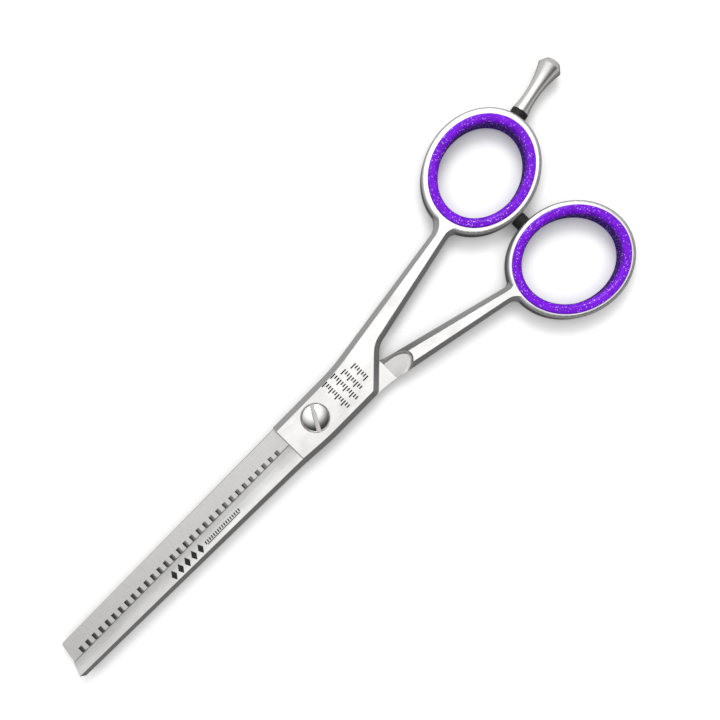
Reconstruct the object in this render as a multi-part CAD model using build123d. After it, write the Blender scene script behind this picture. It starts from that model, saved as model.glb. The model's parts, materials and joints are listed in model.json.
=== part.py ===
from build123d import *
import os

os.makedirs("parts", exist_ok=True)

# Hairdressing thinning scissors, closed and lying flat. Millimetres, +Z up.
# The pivot axis is the Z axis, the blades point along +X and the thumb ring lies toward +Y.

# Heights above the surface the scissors lie on
TOP = 5.6  # outer face of the straight half
INNER_STRAIGHT = TOP / 2  # inner face of the straight half
RUNNING_GAP = 0.05  # air between the two inner faces
INNER_TOOTHED = INNER_STRAIGHT - RUNNING_GAP
MIDDLE = TOP / 2
LIP = 0.4  # thickness of the insert lips over the ring metal
EVERYWHERE = 200.0  # size of a tool that only has to reach past the part

# Forged sections
BEVEL_WIDTH = 1.2
BEVEL_DEPTH = 2.0
RIM_RADIUS = 0.75
WEB = 0.1  # how far the shank stays inside the rounded rim of its ring
THIN_FROM = -14.0  # the shank starts to get thinner here
THIN_TO = -49.0  # and has reached the thickness of the ring here

# Rings: centre, half axes and tilt of the outer edge of the metal, then of the insert lips
FINGER_RING = (-62.35, -11.8, 14.25, 12.3, 11.4)
FINGER_LIP = (-62.35, -11.8, 12.75, 11.0, 11.4)
THUMB_RING = (-62.45, 15.15, 14.1, 12.4, -20.4)
THUMB_LIP = (-62.4, 15.15, 13.1, 11.4, -20.4)
SEAT_INSET = 1.25  # how far the lip reaches over the metal
BAND = 2.2  # width of the lip and the tube together
LIP_EDGE = 0.35  # rounding of the lip's outer edge
MOUTH_EDGE = 1.1  # rounding of the mouth of the hole
FIT = 0.03  # gap between pieces that are pressed together

# Blades
CUT_Y = -0.05  # cutting line of the straight blade
RICASSO_END = 8.1
HEEL_RADIUS = 0.9
TIP_LOW = (73.4, -4.7)
TIP_HIGH = (74.6, 3.05)
TIP_CORNER = (73.9, 4.1)
PAST_TIP = 5.0  # how far a blank reaches past the blade ends before they are trimmed
TIP_ROUND = 0.8  # rounding of the toothed blade's corner
EDGE_LAND = 0.1  # thickness left at the cutting edge
GRIND_TOP = 4.45  # where the ground face of the straight blade reaches full height
GRIND_SAG = 0.15  # how far the ground face bulges from a plane
HONED = (0.25, 0.35)  # width and height of the steep honed strip along the cutting edge
EDGE_BREAK = 0.3  # side of the square bar that breaks a sharp edge
TOOTH_TIP = 2.9
TOOTH_GRIND = -3.6  # where the ground face of the toothed blade starts
SLOTS = 31  # between teeth, from the heel to the tip
SLOT_PITCH = 1.987
FIRST_SLOT = 11.45
SLOT_WIDTH = 0.9
ROOT_HEEL = -1.0
ROOT_TIP = -1.4
NOTCH = 0.4  # side of the square cut into each tooth tip

# Shoulders, where each half steps from the full shank to its thin half
SHOULDER_X = -18.3
SCOOP_LENGTH = 6.3  # from the shoulder to the far end of the scoop
SCOOP_WIDTH = 3.2
SCOOP_DEPTH = 2.75  # at the shoulder
SCOOP_TILT = 13.0  # its floor runs down toward the pivot
SCOOP_CORNER = 1.0
THUMB_SCOOP_Y = 4.7
FINGER_SCOOP_Y = -4.2

# Pivot
SHANK_D = 4.0
THREAD_D = 3.4
BORE_CLEARANCE = 0.1  # added to the diameter of a bore and the depth of a blind hole
HEAD_D = 6.05
COUNTERBORE_D = 6.45
COUNTERBORE_DEPTH = 1.2
HEAD_WASHER = 0.3
HEAD_SIDE = 0.55
DOME = 0.8
DRIVER_SLOT = 0.95
DRIVER_DEPTH = 1.0  # below the top of the dome
DRIVER_ANGLE = 60.0
SCREW_RECESS = 0.1
GLIDE_D = 9.0
GLIDE = 0.3

# Finger rest, turned about its own axis, and its collar
REST_Y = -14.65
REST_AXIS = 191.0
SPOT_X = -76.2
COLLAR_D = 3.85
COLLAR = 1.55
STUD_D = 2.0
STUD_DEPTH = 1.9
REST_LENGTH = 12.8
REST_BASE = 1.9
REST_NECK = (1.5, 4.6)  # radius and distance along the rest
REST_FLARE = (2.75, 11.4)
REST_CROWN = 1.75

# Bumper
BUMPER_X = -61.0
BUMPER_D = 3.4
BUMPER_END = 0.63
BUMPER_EDGE = 0.3  # rounding of its free end
STEM_D = 1.6
STEM_END = 4.4


def plate(corners):
    """Outline through (x, y, radius) corners, each rounded by its own radius."""
    outline = make_face(Polyline([(x, y) for x, y, radius in corners], close=True))
    for x, y, radius in corners:
        if radius:
            corner = outline.vertices().sort_by_distance((x, y, 0))[0]
            outline = fillet(corner, radius)
    return outline


def oval(ring, inset):
    """Ellipse of a ring, made smaller all round by the inset."""
    x, y, half_length, half_width, tilt = ring
    return Pos(x, y) * Rot(0, 0, tilt) * Ellipse(half_length - inset, half_width - inset)


def slab(outline, low, high):
    """Straight extrusion of an outline between two heights."""
    return extrude(Pos(0, 0, low) * outline, high - low)


def thickness_profile():
    """Side view shared by both halves: full at the pivot, thinner toward the rings."""
    upper = [(EVERYWHERE, TOP), (THIN_FROM, TOP), (THIN_TO, TOP - LIP), (-EVERYWHERE, TOP - LIP)]
    lower = [(x, TOP - z) for x, z in reversed(upper)]
    side = make_face(Plane.XZ * Polyline(upper + lower, close=True))
    return extrude(side, EVERYWHERE / 2, both=True)


def forging(corners, ring, lip, joins):
    """Bevelled shank and blade blank with its round-edged ring, before the inside is ground."""
    outline = plate(corners) + oval(ring, WEB)
    for x, y, radius in joins:
        corner = outline.vertices().sort_by_distance((x, y, 0))[0]
        outline = fillet(corner, radius)
    blank = slab(outline, 0, TOP)
    for end in (0, -1):
        flat = blank.faces().filter_by(Axis.Z).sort_by(Axis.Z)[end]
        blank = chamfer(flat.edges(), BEVEL_WIDTH, BEVEL_DEPTH, reference=flat)
    blank = blank & thickness_profile()
    hoop = slab(oval(ring, 0), LIP, TOP - LIP)
    hoop = fillet(hoop.faces().filter_by(Axis.Z).edges(), RIM_RADIUS)
    return blank + hoop - slab(oval(lip, SEAT_INSET), 0, TOP)


def shoulder(floor, scoop_y):
    """Tool that takes away everything above the inner face, with a scoop into the shank."""
    scoop = extrude(Ellipse(SCOOP_LENGTH, SCOOP_WIDTH), 2 * TOP)
    scoop = fillet(scoop.edges().sort_by(Axis.Z)[0], SCOOP_CORNER)
    scoop = Pos(SHOULDER_X, scoop_y, TOP - SCOOP_DEPTH) * Rot(0, SCOOP_TILT, 0) * scoop
    room = Box(EVERYWHERE, EVERYWHERE, TOP, align=(Align.MIN, Align.CENTER, Align.MIN))
    above = Pos(-EVERYWHERE / 2, 0, floor) * room
    return (scoop & above) + Pos(SHOULDER_X, 0, floor) * room


def ground_face(edge_y, ridge_y, edge_z, outer_z):
    """Tool along X: a steep honed strip at the edge, then a convex arc up to the ridge."""
    across = 1 if ridge_y > edge_y else -1
    up = 1 if outer_z > edge_z else -1
    edge = (edge_y, edge_z + up * EDGE_LAND)
    strip = (edge_y + across * HONED[0], edge[1] + up * HONED[1])
    ridge = (ridge_y, outer_z)
    crown = ((strip[0] + ridge[0]) / 2, (strip[1] + ridge[1]) / 2 + up * GRIND_SAG)
    outside = outer_z + up
    around = Polyline(ridge, (ridge_y, outside), (edge_y - across, outside),
                      (edge_y - across, edge[1]), edge, strip)
    section = make_face(Plane.YZ * (ThreePointArc(strip, crown, ridge) + around))
    return Pos(RICASSO_END, 0, 0) * extrude(section, EVERYWHERE)


def spine_break():
    """Tool that bevels the inner face's edge along the back of the toothed blade."""
    back = TIP_LOW[1] - EDGE_BREAK / 2
    return Pos(0, back, INNER_TOOTHED) * Rot(45, 0, 0) * Box(EVERYWHERE, EDGE_BREAK, EDGE_BREAK)


def heel_break():
    """Tool that bevels the step from the flat round the screw down to the blade."""
    return Pos(RICASSO_END, 0, TOP) * Rot(0, 45, 0) * Box(EDGE_BREAK, EVERYWHERE, EDGE_BREAK)


def tip_trim():
    """Tool that takes away everything past the slanted blade ends and rounds their corner."""
    far = EVERYWHERE
    plan = make_face(
        Polyline(TIP_LOW, TIP_HIGH, TIP_CORNER, (TIP_CORNER[0], far), (far, far), (far, -far),
                 (TIP_LOW[0], -far), close=True))
    slant = (TIP_HIGH[0] - TIP_LOW[0]) / (TIP_HIGH[1] - TIP_LOW[1])
    middle = (TIP_LOW[0] - TIP_ROUND * (1 - slant), TIP_LOW[1] + TIP_ROUND)
    quarter = Rectangle(2 * TIP_ROUND, 2 * TIP_ROUND, align=(Align.MIN, Align.MAX))
    plan += Pos(*middle) * (quarter - Circle(TIP_ROUND))
    return slab(plan, 0, TOP)


def pivot_bore(diameter):
    return Pos(0, 0, MIDDLE) * Cylinder(diameter / 2, EVERYWHERE)


def straight_half():
    """Half with the plain blade and the finger ring; its inner face looks down."""
    corners = [
        (-52.0, -10.95, 0),
        (-9.8, -5.0, 40.0),
        (TIP_HIGH[0] + PAST_TIP, -5.0, 0),
        (TIP_HIGH[0] + PAST_TIP, 3.75, 0),
        (9.0, 5.35, 60.0),
        (1.0, 5.95, 60.0),
        (-13.2, 5.95, 2.0),
        (-20.6, -1.2, 5.0),
        (-52.0, -7.85, 0),
    ]
    joins = [(-49.3, -10.6, 4.0), (-49.5, -7.3, 2.4)]
    body = forging(corners, FINGER_RING, FINGER_LIP, joins)
    body -= Pos(0, 0, TOP) * Rot(180, 0, 0) * shoulder(INNER_STRAIGHT, -FINGER_SCOOP_Y)
    beside = plate([
        (RICASSO_END, CUT_Y, HEEL_RADIUS),
        (EVERYWHERE, CUT_Y, 0),
        (EVERYWHERE, -EVERYWHERE, 0),
        (RICASSO_END, -EVERYWHERE, 0),
    ])
    body -= slab(beside, 0, TOP)
    body -= tip_trim()
    body -= ground_face(CUT_Y, GRIND_TOP, INNER_STRAIGHT, TOP)
    body -= heel_break()
    body -= pivot_bore(SHANK_D + BORE_CLEARANCE)
    body -= Pos(0, 0, TOP) * Cylinder(COUNTERBORE_D / 2, 2 * COUNTERBORE_DEPTH)
    return body - rest_place() * rest_socket()


def tooth_slots():
    """Plan of the slots between the teeth and the small notch in each tooth tip."""
    plan = Sketch()
    for number in range(SLOTS):
        x = FIRST_SLOT + number * SLOT_PITCH
        root = ROOT_HEEL + (ROOT_TIP - ROOT_HEEL) * min(1, 2 * number / SLOTS)
        length = TOOTH_TIP + 1 - root
        plan += Pos(x, root + length / 2) * Rectangle(SLOT_WIDTH, length)
        notch_x = x + SLOT_PITCH / 2
        if number < SLOTS - 1:
            plan += Pos(notch_x, TOOTH_TIP) * Rot(0, 0, 45) * Rectangle(NOTCH, NOTCH)
    return plan


def toothed_half():
    """Half with the slotted blade and the thumb ring; its inner face looks up."""
    corners = [
        (-52.0, 10.25, 0),
        (-18.2, 1.3, 6.0),
        (-11.8, -5.0, 2.0),
        (9.0, -4.8, 0),
        (TIP_LOW[0] + PAST_TIP, -4.65, 0),
        (TIP_LOW[0] + PAST_TIP, 5.2, 0),
        (0.0, 5.6, 0),
        (-15.8, 6.05, 25.0),
        (-52.0, 13.4, 0),
    ]
    joins = [(-48.2, 12.5, 2.4), (-48.5, 9.3, 1.6)]
    body = forging(corners, THUMB_RING, THUMB_LIP, joins)
    body -= shoulder(INNER_TOOTHED, THUMB_SCOOP_Y)
    behind_teeth = make_face(Polyline(
        (RICASSO_END, TOOTH_TIP), (EVERYWHERE, TOOTH_TIP), (EVERYWHERE, EVERYWHERE),
        (RICASSO_END, EVERYWHERE), close=True))
    body -= slab(behind_teeth, 0, TOP)
    body -= tip_trim()
    body -= ground_face(TOOTH_TIP, TOOTH_GRIND, INNER_TOOTHED, 0)
    body -= spine_break()
    body -= slab(tooth_slots(), -1, TOP)
    body -= pivot_bore(THREAD_D + BORE_CLEARANCE)
    body -= slab(Circle(GLIDE_D / 2 + FIT), INNER_STRAIGHT - GLIDE, TOP)
    return body - bumper_stem(FIT)


def rest_place():
    """Frame at the flat spot on the finger ring, its Z axis along the finger rest."""
    return Pos(SPOT_X, REST_Y, MIDDLE) * Rot(0, 0, REST_AXIS) * Rot(0, 90, 0)


def rest_socket():
    spot = Cylinder(COLLAR_D / 2 + FIT, 1, align=(Align.CENTER, Align.CENTER, Align.MIN))
    hole_depth = STUD_DEPTH + BORE_CLEARANCE
    return spot + Pos(0, 0, -hole_depth / 2) * Cylinder(STUD_D / 2 + FIT, hole_depth)


def finger_rest():
    """Turned rest: slim waist, flared end with a bevelled crown, stud at the ring end."""
    crown = (REST_CROWN, REST_LENGTH)
    stud_end = -COLLAR - STUD_DEPTH
    waist = ThreePointArc((REST_BASE, 0), REST_NECK, REST_FLARE)
    rest = Polyline(REST_FLARE, crown, (0, REST_LENGTH), (0, stud_end), (STUD_D / 2, stud_end),
                    (STUD_D / 2, 0), (REST_BASE, 0))
    return rest_place() * Pos(0, 0, COLLAR) * revolve(make_face(Plane.XZ * (waist + rest)), Axis.Z)


def finger_rest_collar():
    ring = Cylinder(COLLAR_D / 2, COLLAR) - Cylinder(STUD_D / 2 + FIT, COLLAR)
    return rest_place() * (Pos(0, 0, COLLAR / 2) * ring)


def insert(lip):
    """Soft ring lining: a tube through the metal with a rounded lip on each face."""
    tube = slab(oval(lip, SEAT_INSET + FIT), 0, TOP)
    rims = slab(oval(lip, 0), 0, LIP) + slab(oval(lip, 0), TOP - LIP, TOP)
    body = tube + rims - slab(oval(lip, BAND), 0, TOP)
    for end in (0, -1):
        face = body.faces().filter_by(Axis.Z).sort_by(Axis.Z)[end]
        body = fillet(face.outer_wire().edges(), LIP_EDGE)
        face = body.faces().filter_by(Axis.Z).sort_by(Axis.Z)[end]
        body = fillet(face.inner_wires().edges(), MOUTH_EDGE)
    return body


def pivot_screw():
    """Slotted screw: domed head, plain shank through one half, threaded end in the other."""
    head_low = TOP - COUNTERBORE_DEPTH + HEAD_WASHER
    head_high = head_low + HEAD_SIDE + DOME
    ball = ((HEAD_D / 2) ** 2 + DOME**2) / (2 * DOME)
    head = slab(Circle(HEAD_D / 2), head_low, head_high)
    head &= Pos(0, 0, head_high - ball) * Sphere(ball)
    slot = Box(2 * HEAD_D, DRIVER_SLOT, 2 * DRIVER_DEPTH)
    slot = Pos(0, 0, head_high) * Rot(0, 0, DRIVER_ANGLE) * slot
    shank = slab(Circle(SHANK_D / 2), INNER_STRAIGHT, head_low)
    thread = slab(Circle(THREAD_D / 2), SCREW_RECESS, INNER_STRAIGHT)
    return head + shank + thread - slot


def head_washer():
    low = TOP - COUNTERBORE_DEPTH
    ring = Circle(HEAD_D / 2) - Circle(SHANK_D / 2 + FIT)
    return slab(ring, low, low + HEAD_WASHER)


def glide_washer():
    ring = Circle(GLIDE_D / 2) - Circle(SHANK_D / 2 + FIT)
    return slab(ring, INNER_STRAIGHT - GLIDE, INNER_STRAIGHT)


def bumper_stem(gap):
    depth = STEM_END + gap - BUMPER_END
    stem = Cylinder(STEM_D / 2 + gap, depth, align=(Align.CENTER, Align.CENTER, Align.MIN))
    return Pos(BUMPER_X, BUMPER_END, MIDDLE) * Rot(-90, 0, 0) * stem


def bumper():
    """Rubber stop whose stem is pressed into the thumb ring."""
    pad = Cylinder(BUMPER_D / 2, STEM_END, align=(Align.CENTER, Align.CENTER, Align.MIN))
    pad = fillet(pad.edges().sort_by(Axis.Z)[0], BUMPER_EDGE)
    pad = Pos(BUMPER_X, BUMPER_END, MIDDLE) * Rot(-90, 0, 0) * pad
    return pad - slab(oval(THUMB_RING, 0), 0, TOP) + bumper_stem(0)


NODES = {
    "toothed_half": toothed_half(),
    "straight_half": straight_half(),
    "pivot_screw": pivot_screw(),
    "head_washer": head_washer(),
    "glide_washer": glide_washer(),
    "finger_rest": finger_rest(),
    "finger_rest_collar": finger_rest_collar(),
    "bumper": bumper(),
    "finger_insert": insert(FINGER_LIP),
    "thumb_insert": insert(THUMB_LIP),
}

for name, shape in NODES.items():
    export_step(shape, f"parts/{name}.step")
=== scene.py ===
import json
import math

import bpy
import bmesh
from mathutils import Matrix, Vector
from mathutils.bvhtree import BVHTree


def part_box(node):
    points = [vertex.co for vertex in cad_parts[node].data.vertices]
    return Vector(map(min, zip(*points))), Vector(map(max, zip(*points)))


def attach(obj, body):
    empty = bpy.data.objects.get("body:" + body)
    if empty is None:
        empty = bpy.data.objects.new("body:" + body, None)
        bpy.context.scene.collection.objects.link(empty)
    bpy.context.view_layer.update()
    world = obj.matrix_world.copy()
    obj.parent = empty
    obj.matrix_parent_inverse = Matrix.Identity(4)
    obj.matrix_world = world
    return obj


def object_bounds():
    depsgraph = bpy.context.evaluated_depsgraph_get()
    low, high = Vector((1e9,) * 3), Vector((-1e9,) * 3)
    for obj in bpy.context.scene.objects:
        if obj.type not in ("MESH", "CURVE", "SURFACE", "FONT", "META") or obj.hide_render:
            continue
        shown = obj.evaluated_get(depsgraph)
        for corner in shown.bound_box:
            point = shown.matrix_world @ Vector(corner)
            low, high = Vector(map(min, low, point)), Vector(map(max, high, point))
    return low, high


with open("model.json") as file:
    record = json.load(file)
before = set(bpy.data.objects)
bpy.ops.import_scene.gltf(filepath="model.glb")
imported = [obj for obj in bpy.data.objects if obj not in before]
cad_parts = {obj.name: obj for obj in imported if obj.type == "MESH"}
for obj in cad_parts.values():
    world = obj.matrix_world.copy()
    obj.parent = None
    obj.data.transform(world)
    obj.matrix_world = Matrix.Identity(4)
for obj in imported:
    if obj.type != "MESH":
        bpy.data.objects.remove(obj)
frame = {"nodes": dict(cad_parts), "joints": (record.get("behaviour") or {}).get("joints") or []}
CAD_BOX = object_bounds()

# Driving dimensions, in metres
MM = 0.001
VIEW_WIDTH = 155.04 * MM  # width of the picture at the middle of the part's thickness
CAMERA_HEIGHT = 200 * MM
CAMERA_TURN = math.radians(134.65)  # the blades point down and to the left of the picture
VIEW_OFFSET = Vector((-7.4, -3.7)) * MM  # picture centre from the centre of the part
SENSOR = 36.0
SLOT_DEPTH = 1.02 * MM  # of the driver slot below the top of the screw
FLOOR_SIZE = 8.0  # wide enough that its edge is far off in a low view
FLOOR_GAP = 0.02 * MM
FLOOR_GLOW = 0.52  # painted glow of the paper, which narrows the shadows
GLOW_REACH = 4 * MM  # painted contact shadow: the glow fades where the part covers the paper within this distance

# Studio light. Directions are azimuth and elevation in degrees, heights are sines of elevation.
SKY_TURN, SKY_RISE = -105, 62  # brightest direction, on the side of the finger ring
SKY_STOPS = ((0.30, 0.06), (0.50, 0.24), (0.60, 0.50), (0.70, 0.78), (0.80, 1.12), (0.86, 1.30))
WALL_LEVEL = 0.72
WALL_HEIGHTS = (0.36, 0.50)  # the walls give way to the sky between these
GROUND_LEVELS = (0.26, 0.76)  # opposite the brightest direction, and under it
GROUND_SPREAD = 0.8
UNDER_LEVEL = 0.04  # of the ground's own brightness, straight down
UNDER_HEIGHTS = (-0.95, -0.55)
HORIZON = -0.15  # the ground gives way to the walls from here to the level
KEY_SIZE, KEY_POWER, KEY_DISTANCE = 0.3, 3.0, 0.8
KEY_TURN, KEY_RISE = -135, 52

# Marks on the straight half, in millimetres from the pivot axis
MARK_RISE = 0.01  # how far an inlay stands above the steel
MARK_THICKNESS = 0.04
MARK_STEP = 0.5  # an inlay has a new row of points at least this often
MARK_CAST = 100  # height that an inlay is dropped from onto the steel
TICK = 0.3  # width of a tick
TICK_PITCH = 0.62
SIZE_ROWS = ((-6.4, 6.8), (-8.9, 6.8), (-11.1, 4.8), (-13.5, 3.6))  # place along X, length
SIZE_ROW_Y = -0.2
SIZE_TICKS = (1.5, 0.9, 0.9)  # heights, repeated along a row
RULE_FROM, RULE_TO, RULE_Y, RULE_WIDTH = 25.6, 35.4, 2.65, 0.18
RULE_TICK_Y, RULE_TICK = 2.12, 0.7
LOZENGES, LOZENGE_FROM, LOZENGE_TO, LOZENGE_Y = 5, 37.2, 45.2, 2.2
LOZENGE_SIZE = (1.45, 2.3)

nodes = frame["nodes"]


class Nodes:
    """A node tree and short calls that add nodes and links to it."""

    def __init__(self, tree, coordinates):
        self.tree = tree
        self.place = tree.nodes.new("ShaderNodeTexCoord").outputs[coordinates]

    def add(self, kind, inputs=None, **settings):
        node = self.tree.nodes.new(kind)
        for key, value in settings.items():
            setattr(node, key, value)
        for key, value in (inputs or {}).items():
            if isinstance(value, bpy.types.NodeSocket):
                self.tree.links.new(value, node.inputs[key])
            else:
                node.inputs[key].default_value = value
        return node

    def stretched(self, per_mm):
        """Object position scaled to so many texture units per millimetre on each axis."""
        scale = [value / MM for value in per_mm]
        return self.add("ShaderNodeMapping", {"Vector": self.place, "Scale": scale}).outputs[0]

    def noise(self, per_mm, detail=3.0, roughness=0.6):
        inputs = {"Vector": self.stretched(per_mm), "Scale": 1.0, "Detail": detail,
                  "Roughness": roughness}
        return self.add("ShaderNodeTexNoise", inputs).outputs["Fac"]

    def remap(self, value, low, high, to_low, to_high, smooth=False):
        inputs = {"Value": value, "From Min": low, "From Max": high, "To Min": to_low,
                  "To Max": to_high}
        kind = "SMOOTHSTEP" if smooth else "LINEAR"
        return self.add("ShaderNodeMapRange", inputs, interpolation_type=kind).outputs["Result"]

    def maths(self, operation, a, b=0.0):
        node = self.add("ShaderNodeMath", operation=operation)
        for socket, value in zip(node.inputs, (a, b)):
            if isinstance(value, bpy.types.NodeSocket):
                self.tree.links.new(value, socket)
            else:
                socket.default_value = value
        return node.outputs[0]

    def mix(self, data_type, factor, a, b):
        node = self.add("ShaderNodeMix", data_type=data_type)
        for key, value in (("Factor", factor), ("A", a), ("B", b)):
            socket = [s for s in node.inputs if s.name == key and s.enabled][0]
            if isinstance(value, bpy.types.NodeSocket):
                self.tree.links.new(value, socket)
            else:
                socket.default_value = value
        return [s for s in node.outputs if s.enabled][0]

    def mix_colour(self, factor, a, b):
        return self.mix("RGBA", factor, a, b)

    def bump(self, height, distance_mm, strength=1.0, normal=None):
        inputs = {"Height": height, "Distance": distance_mm * MM, "Strength": strength}
        if normal is not None:
            inputs["Normal"] = normal
        return self.add("ShaderNodeBump", inputs).outputs[0]

    def dot(self, direction):
        inputs = {0: self.place, 1: direction}
        return self.add("ShaderNodeVectorMath", inputs, operation="DOT_PRODUCT").outputs["Value"]

    def facing_up(self, low, high):
        """0 on walls and bevels, 1 on the ground faces that look straight up or down."""
        geometry = self.add("ShaderNodeNewGeometry")
        parts = self.add("ShaderNodeSeparateXYZ", {"Vector": geometry.outputs["True Normal"]})
        height = self.maths("ABSOLUTE", parts.outputs["Z"])
        return self.remap(height, low, high, 0.0, 1.0, smooth=True)


class Shader(Nodes):
    """A material with a Principled shader."""

    def __init__(self, name):
        self.material = bpy.data.materials.new(name)
        self.material.use_nodes = True
        self.bsdf = self.material.node_tree.nodes["Principled BSDF"]
        super().__init__(self.material.node_tree, "Object")

    def set(self, **sockets):
        for key, value in sockets.items():
            socket = self.bsdf.inputs[key.replace("_", " ")]
            if isinstance(value, bpy.types.NodeSocket):
                self.tree.links.new(value, socket)
            else:
                socket.default_value = value


def grey(value, warm=0.0):
    return (value, value * (1 - warm / 2), value * (1 - warm), 1)


def satin_steel(name, matt_from=None):
    """Stainless steel: ground flats with fine lines along the part, rougher tumbled sides, and
    painted shade that darkens the walls and bevels.

    Flats past matt_from along X are matt, with lines across the blade.
    """
    s = Shader(name)
    flat = s.facing_up(0.72, 0.97)
    lines = s.noise((0.25, 14.0, 4.0), detail=4.0)
    clouds = s.noise((0.12, 0.2, 0.2), detail=4.0)
    side_grain = s.noise((2.2, 2.2, 2.2), detail=3.0)
    bright = s.mix_colour(s.remap(clouds, 0.3, 0.7, 0.0, 1.0), grey(0.66, 0.03), grey(0.86, 0.01))
    # painted shade: walls and bevels get a darker base colour that stands in for their dark
    # reflections; the grain on them is real
    grainy_side_shade = s.mix_colour(s.remap(side_grain, 0.3, 0.7, 0.0, 1.0), grey(0.40), grey(0.48))
    if matt_from is not None:
        along = s.add("ShaderNodeSeparateXYZ", {"Vector": s.place}).outputs["X"]
        matt = s.remap(along, matt_from - 0.1 * MM, matt_from, 0.0, 1.0)
        across = s.noise((14.0, 0.4, 4.0), detail=4.0)
        ground = s.mix_colour(s.remap(across, 0.3, 0.7, 0.0, 1.0), grey(0.48, 0.03),
                              grey(0.62, 0.03))
        bright = s.mix_colour(matt, bright, ground)
    s.set(Metallic=1.0, Base_Color=s.mix_colour(flat, grainy_side_shade, bright))
    fine = s.remap(lines, 0.3, 0.7, 0.22, 0.36)
    coarse = s.remap(side_grain, 0.3, 0.7, 0.34, 0.46)
    rounded = s.add("ShaderNodeBevel", {"Radius": 0.08 * MM}, samples=4).outputs[0]
    scratches = s.bump(lines, 0.004, 0.5, rounded)
    s.set(Roughness=s.mix("FLOAT", flat, coarse, fine))
    s.set(Normal=s.bump(side_grain, 0.004, 0.4, scratches))
    return s.material


def polished_steel(slot_floor):
    """Polished screw, duller down in the driver slot, with painted shade darkening the slot
    floor.
    """
    s = Shader("polished_steel")
    wear = s.noise((1.5, 1.5, 1.5), detail=5.0)
    height = s.add("ShaderNodeSeparateXYZ", {"Vector": s.place}).outputs["Z"]
    polish_and_slot_shade = s.remap(height, slot_floor, slot_floor + 0.15 * MM, 0.0, 1.0)
    shine = s.mix_colour(wear, grey(0.74, 0.02), grey(0.84, 0.02))
    # painted shade: the slot floor gets a darker, warmer base colour; the roughness change there
    # is the real duller finish
    s.set(Metallic=1.0, Base_Color=s.mix_colour(polish_and_slot_shade, grey(0.42, 0.08), shine))
    bare = s.remap(wear, 0.3, 0.7, 0.06, 0.16)
    s.set(Roughness=s.maths("ADD", bare, s.remap(polish_and_slot_shade, 0.0, 1.0, 0.3, 0.0)))
    rounded = s.add("ShaderNodeBevel", {"Radius": 0.12 * MM}, samples=6).outputs[0]
    s.set(Normal=s.bump(wear, 0.006, 0.4, rounded))
    return s.material


def turned_steel(axis_start, axis_direction):
    """Satin steel with fine turning rings round the finger rest's own axis."""
    s = Shader("turned_steel")
    shifted = s.add("ShaderNodeVectorMath", {0: s.place, 1: axis_start}, operation="SUBTRACT")
    along = s.add("ShaderNodeVectorMath", {0: shifted.outputs[0], 1: axis_direction},
                  operation="DOT_PRODUCT").outputs["Value"]
    rings = s.add("ShaderNodeTexNoise", {"W": s.maths("MULTIPLY", along, 14 / MM), "Scale": 1.0,
                                         "Detail": 3.0}, noise_dimensions="1D").outputs["Fac"]
    clouds = s.noise((0.6, 0.6, 0.6))
    s.set(Metallic=1.0, Base_Color=s.mix_colour(clouds, grey(0.62, 0.03), grey(0.72, 0.03)))
    s.set(Roughness=s.remap(rings, 0.3, 0.7, 0.26, 0.38), Normal=s.bump(rings, 0.006, 0.5))
    return s.material


def black_rubber():
    s = Shader("black_rubber")
    skin = s.noise((6.0, 6.0, 6.0), detail=4.0)
    s.set(Base_Color=s.mix_colour(skin, grey(0.006), grey(0.014)), Specular_IOR_Level=0.25)
    s.set(Roughness=s.remap(skin, 0.3, 0.7, 0.5, 0.7), Normal=s.bump(skin, 0.02, 0.5))
    return s.material


def washer_plastic():
    s = Shader("washer_plastic")
    skin = s.noise((3.0, 3.0, 3.0))
    s.set(Base_Color=s.mix_colour(skin, grey(0.02), grey(0.035)))
    s.set(Roughness=s.remap(skin, 0.3, 0.7, 0.4, 0.55))
    return s.material


def purple_glitter():
    """Clear purple plastic with painted shade darkening the walls of the hole, and glitter flakes
    of many brightnesses.
    """
    s = Shader("purple_glitter")
    depth = s.noise((0.35, 0.35, 0.35), detail=3.0)
    skin = s.mix_colour(s.remap(depth, 0.3, 0.7, 0.0, 1.0), (0.14, 0.004, 0.50, 1),
                        (0.22, 0.008, 0.78, 1))
    # painted shade: walls of the hole take a darker purple than the lips
    body = s.mix_colour(s.facing_up(0.15, 0.95), (0.05, 0.012, 0.19, 1), skin)
    cells = s.add("ShaderNodeTexVoronoi", {"Vector": s.stretched((3.6, 3.6, 3.6)), "Scale": 1.0},
                  feature="F1")
    random = s.add("ShaderNodeSeparateColor", {"Color": cells.outputs["Color"]})
    chosen = s.remap(random.outputs[0], 0.70, 0.72, 0.0, 1.0)
    core = s.remap(cells.outputs["Distance"], 0.28, 0.36, 1.0, 0.0)
    flake = s.maths("MULTIPLY", chosen, core)
    tint = s.mix_colour(random.outputs[1], (0.28, 0.06, 0.85, 1), (0.80, 0.62, 1.0, 1))
    s.set(Base_Color=s.mix_colour(flake, body, tint))
    s.set(Metallic=s.maths("MULTIPLY", flake, 0.55), Roughness=s.remap(flake, 0.0, 1.0, 0.2, 0.3))
    s.set(Subsurface_Weight=0.25, Subsurface_Radius=(0.4, 0.1, 1.0), Subsurface_Scale=0.6 * MM,
          Specular_IOR_Level=0.12, IOR=1.5)
    s.set(Normal=s.bump(random.outputs[2], 0.01, 0.15))
    return s.material


def etched():
    s = Shader("etched_mark")
    burn = s.noise((4.0, 4.0, 4.0))
    s.set(Base_Color=s.mix_colour(burn, grey(0.012), grey(0.05)), Metallic=0.3)
    s.set(Roughness=s.remap(burn, 0.3, 0.7, 0.5, 0.75))
    return s.material


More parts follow.
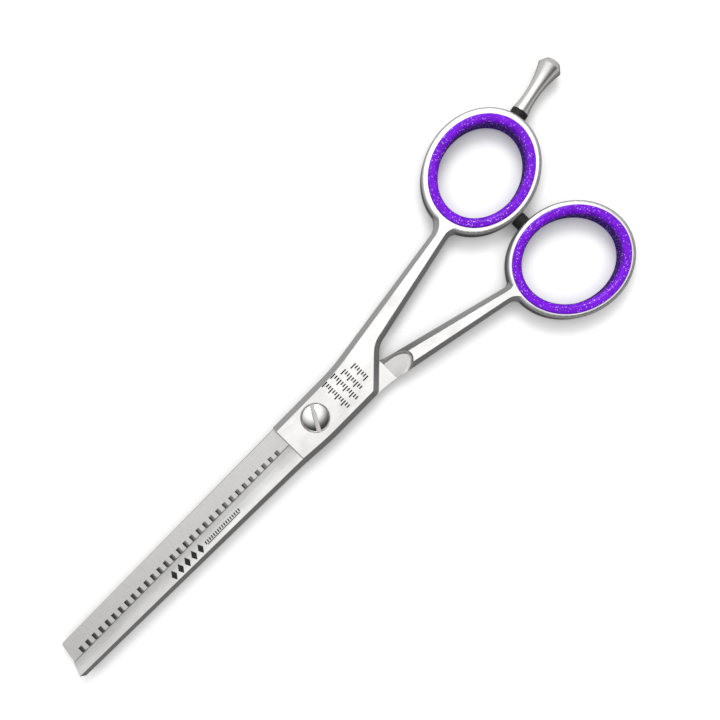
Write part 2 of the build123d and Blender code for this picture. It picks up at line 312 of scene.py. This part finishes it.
class Marks:
    """One mesh of thin closed inlays that lie on the top surface of a CAD node."""

    def __init__(self, name, node):
        mesh = nodes[node].data
        self.name = name
        self.build = bmesh.new()
        self.surface = BVHTree.FromPolygons([v.co for v in mesh.vertices],
                                            [p.vertices for p in mesh.polygons])

    def patch(self, centre, across, along):
        """Parallelogram round its centre with two sides given as (x, y), all in millimetres."""
        centre, across, along = Vector(centre), Vector(across), Vector(along)
        counts = [max(1, math.ceil(side.length / MARK_STEP)) for side in (across, along)]
        rows = []
        for i in range(counts[0] + 1):
            row = []
            for j in range(counts[1] + 1):
                place = centre + across * (i / counts[0] - 0.5) + along * (j / counts[1] - 0.5)
                above = Vector((place.x, place.y, MARK_CAST)) * MM
                hit = self.surface.ray_cast(above, Vector((0, 0, -1)))[0]
                row.append(self.build.verts.new(hit + Vector((0, 0, MARK_RISE * MM))))
            rows.append(row)
        for low, high in zip(rows, rows[1:]):
            for j in range(counts[1]):
                self.build.faces.new((low[j], high[j], high[j + 1], low[j + 1]))

    def finish(self, body, material):
        mesh = bpy.data.meshes.new(self.name)
        bmesh.ops.solidify(self.build, geom=self.build.faces[:], thickness=MARK_THICKNESS * MM)
        self.build.to_mesh(mesh)
        self.build.free()
        obj = bpy.data.objects.new(self.name, mesh)
        bpy.context.scene.collection.objects.link(obj)
        dress(obj, material)
        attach(obj, body)


def size_marks(material):
    """Plain graduated rows across the flat round the screw."""
    marks = Marks("size_marks", "straight_half")
    for x, length in SIZE_ROWS:
        count = round(length / TICK_PITCH)
        for i in range(count + 1):
            y = SIZE_ROW_Y + (i - count / 2) * TICK_PITCH
            height = SIZE_TICKS[i % len(SIZE_TICKS)]
            marks.patch((x - (SIZE_TICKS[0] - height) / 2, y), (height, 0), (0, TICK))
    marks.finish("finger_side", material)


def blade_marks(material):
    """A ruled line with ticks and a row of plain lozenges on the straight blade."""
    marks = Marks("blade_marks", "straight_half")
    length = RULE_TO - RULE_FROM
    marks.patch((RULE_FROM + length / 2, RULE_Y), (length, 0), (0, RULE_WIDTH))
    for i in range(round(length / TICK_PITCH) + 1):
        marks.patch((RULE_FROM + i * TICK_PITCH, RULE_TICK_Y), (TICK, 0), (0, RULE_TICK))
    half_width, half_height = LOZENGE_SIZE[0] / 2, LOZENGE_SIZE[1] / 2
    for i in range(LOZENGES):
        x = LOZENGE_FROM + (LOZENGE_TO - LOZENGE_FROM) * i / (LOZENGES - 1)
        marks.patch((x, LOZENGE_Y), (half_width, half_height), (-half_width, half_height))
    marks.finish("finger_side", material)


def dress(node, material):
    node.data.materials.clear()
    node.data.materials.append(material)


def camera():
    low, high = CAD_BOX
    middle = (low + high) / 2
    data = bpy.data.cameras.new("camera")
    data.sensor_width = SENSOR
    data.lens = SENSOR * CAMERA_HEIGHT / VIEW_WIDTH
    data.clip_start = 1 * MM
    obj = bpy.data.objects.new("camera", data)
    obj.location = (middle.x + VIEW_OFFSET.x, middle.y + VIEW_OFFSET.y, middle.z + CAMERA_HEIGHT)
    obj.rotation_euler = (0, 0, CAMERA_TURN)
    bpy.context.scene.collection.objects.link(obj)
    bpy.context.scene.camera = obj


def floor():
    """White paper with a painted glow that fades to painted contact shadow near the part. The
    steel doesn't mirror it: it mirrors the studio's shaded ground.
    """
    mesh = bpy.data.meshes.new("floor")
    build = bmesh.new()
    bmesh.ops.create_grid(build, x_segments=1, y_segments=1, size=FLOOR_SIZE / 2)
    build.to_mesh(mesh)
    build.free()
    obj = bpy.data.objects.new("floor", mesh)
    obj.location.z = CAD_BOX[0].z - FLOOR_GAP
    bpy.context.scene.collection.objects.link(obj)
    s = Shader("white_paper")
    fibres = s.noise((0.8, 0.8, 0.8), detail=4.0)
    # painted contact shadow: ambient occlusion dims the paper's painted glow near the part and in
    # the tooth slots
    painted_shadow_ao = s.add("ShaderNodeAmbientOcclusion", {"Distance": GLOW_REACH}, samples=8)
    s.set(Base_Color=s.mix_colour(fibres, grey(0.55), grey(0.57)), Roughness=0.9,
          Specular_IOR_Level=0.1, Emission_Color=grey(1.0),
          Emission_Strength=s.maths("MULTIPLY", painted_shadow_ao.outputs["AO"], FLOOR_GLOW))
    obj.visible_glossy = False
    dress(obj, s.material)


def direction(azimuth, elevation):
    turn, rise = math.radians(azimuth), math.radians(elevation)
    return Vector((math.cos(turn) * math.cos(rise), math.sin(turn) * math.cos(rise),
                   math.sin(rise)))


def area_light(name, size, power, azimuth, elevation, distance):
    """Square soft box that looks at the part from an azimuth and elevation in degrees."""
    data = bpy.data.lights.new(name, "AREA")
    data.size = size
    data.energy = power
    obj = bpy.data.objects.new(name, data)
    away = direction(azimuth, elevation)
    obj.location = away * distance
    obj.rotation_euler = away.to_track_quat("Z", "Y").to_euler()
    bpy.context.scene.collection.objects.link(obj)


def studio():
    """Sky bright on one side and dark opposite, pale walls, and a shaded ground below."""
    world = bpy.data.worlds.new("studio")
    bpy.context.scene.world = world
    world.use_nodes = True
    s = Nodes(world.node_tree, "Generated")
    ramp = s.add("ShaderNodeValToRGB", {"Fac": s.dot(direction(SKY_TURN, SKY_RISE))})
    for place, _ in SKY_STOPS[2:]:
        ramp.color_ramp.elements.new(place)
    for stop, (place, level) in zip(ramp.color_ramp.elements, SKY_STOPS):
        stop.position = place
        stop.color = grey(level)
    height = s.dot((0, 0, 1))
    low, high = WALL_HEIGHTS
    sky = s.mix_colour(s.remap(height, high, low, 0.0, 1.0), ramp.outputs["Color"],
                       grey(WALL_LEVEL))
    toward = s.dot(direction(SKY_TURN, 0))
    level = s.remap(toward, -GROUND_SPREAD, GROUND_SPREAD, *GROUND_LEVELS)
    ground = s.maths("MULTIPLY", level, s.remap(height, *UNDER_HEIGHTS, UNDER_LEVEL, 1.0))
    light = s.mix_colour(s.remap(height, HORIZON, 0.0, 0.0, 1.0), ground, sky)
    world.node_tree.links.new(light, world.node_tree.nodes["Background"].inputs["Color"])
    area_light("key", KEY_SIZE, KEY_POWER, KEY_TURN, KEY_RISE, KEY_DISTANCE)
    bpy.context.scene.view_settings.view_transform = "Standard"


head_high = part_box("pivot_screw")[1]
rest_joint = [j for j in frame["joints"] if j["name"] == "finger_rest_turn"][0]
dress(nodes["toothed_half"], satin_steel("toothed_steel", head_high.x))
dress(nodes["straight_half"], satin_steel("plain_steel"))
dress(nodes["pivot_screw"], polished_steel(head_high.z - SLOT_DEPTH))
dress(nodes["finger_rest"], turned_steel(rest_joint["pos_m"], rest_joint["axis"]))
rubber = black_rubber()
dress(nodes["finger_rest_collar"], rubber)
dress(nodes["bumper"], rubber)
washer = washer_plastic()
dress(nodes["head_washer"], washer)
dress(nodes["glide_washer"], washer)
glitter = purple_glitter()
dress(nodes["finger_insert"], glitter)
dress(nodes["thumb_insert"], glitter)

mark = etched()
size_marks(mark)
blade_marks(mark)

camera()
floor()
studio()
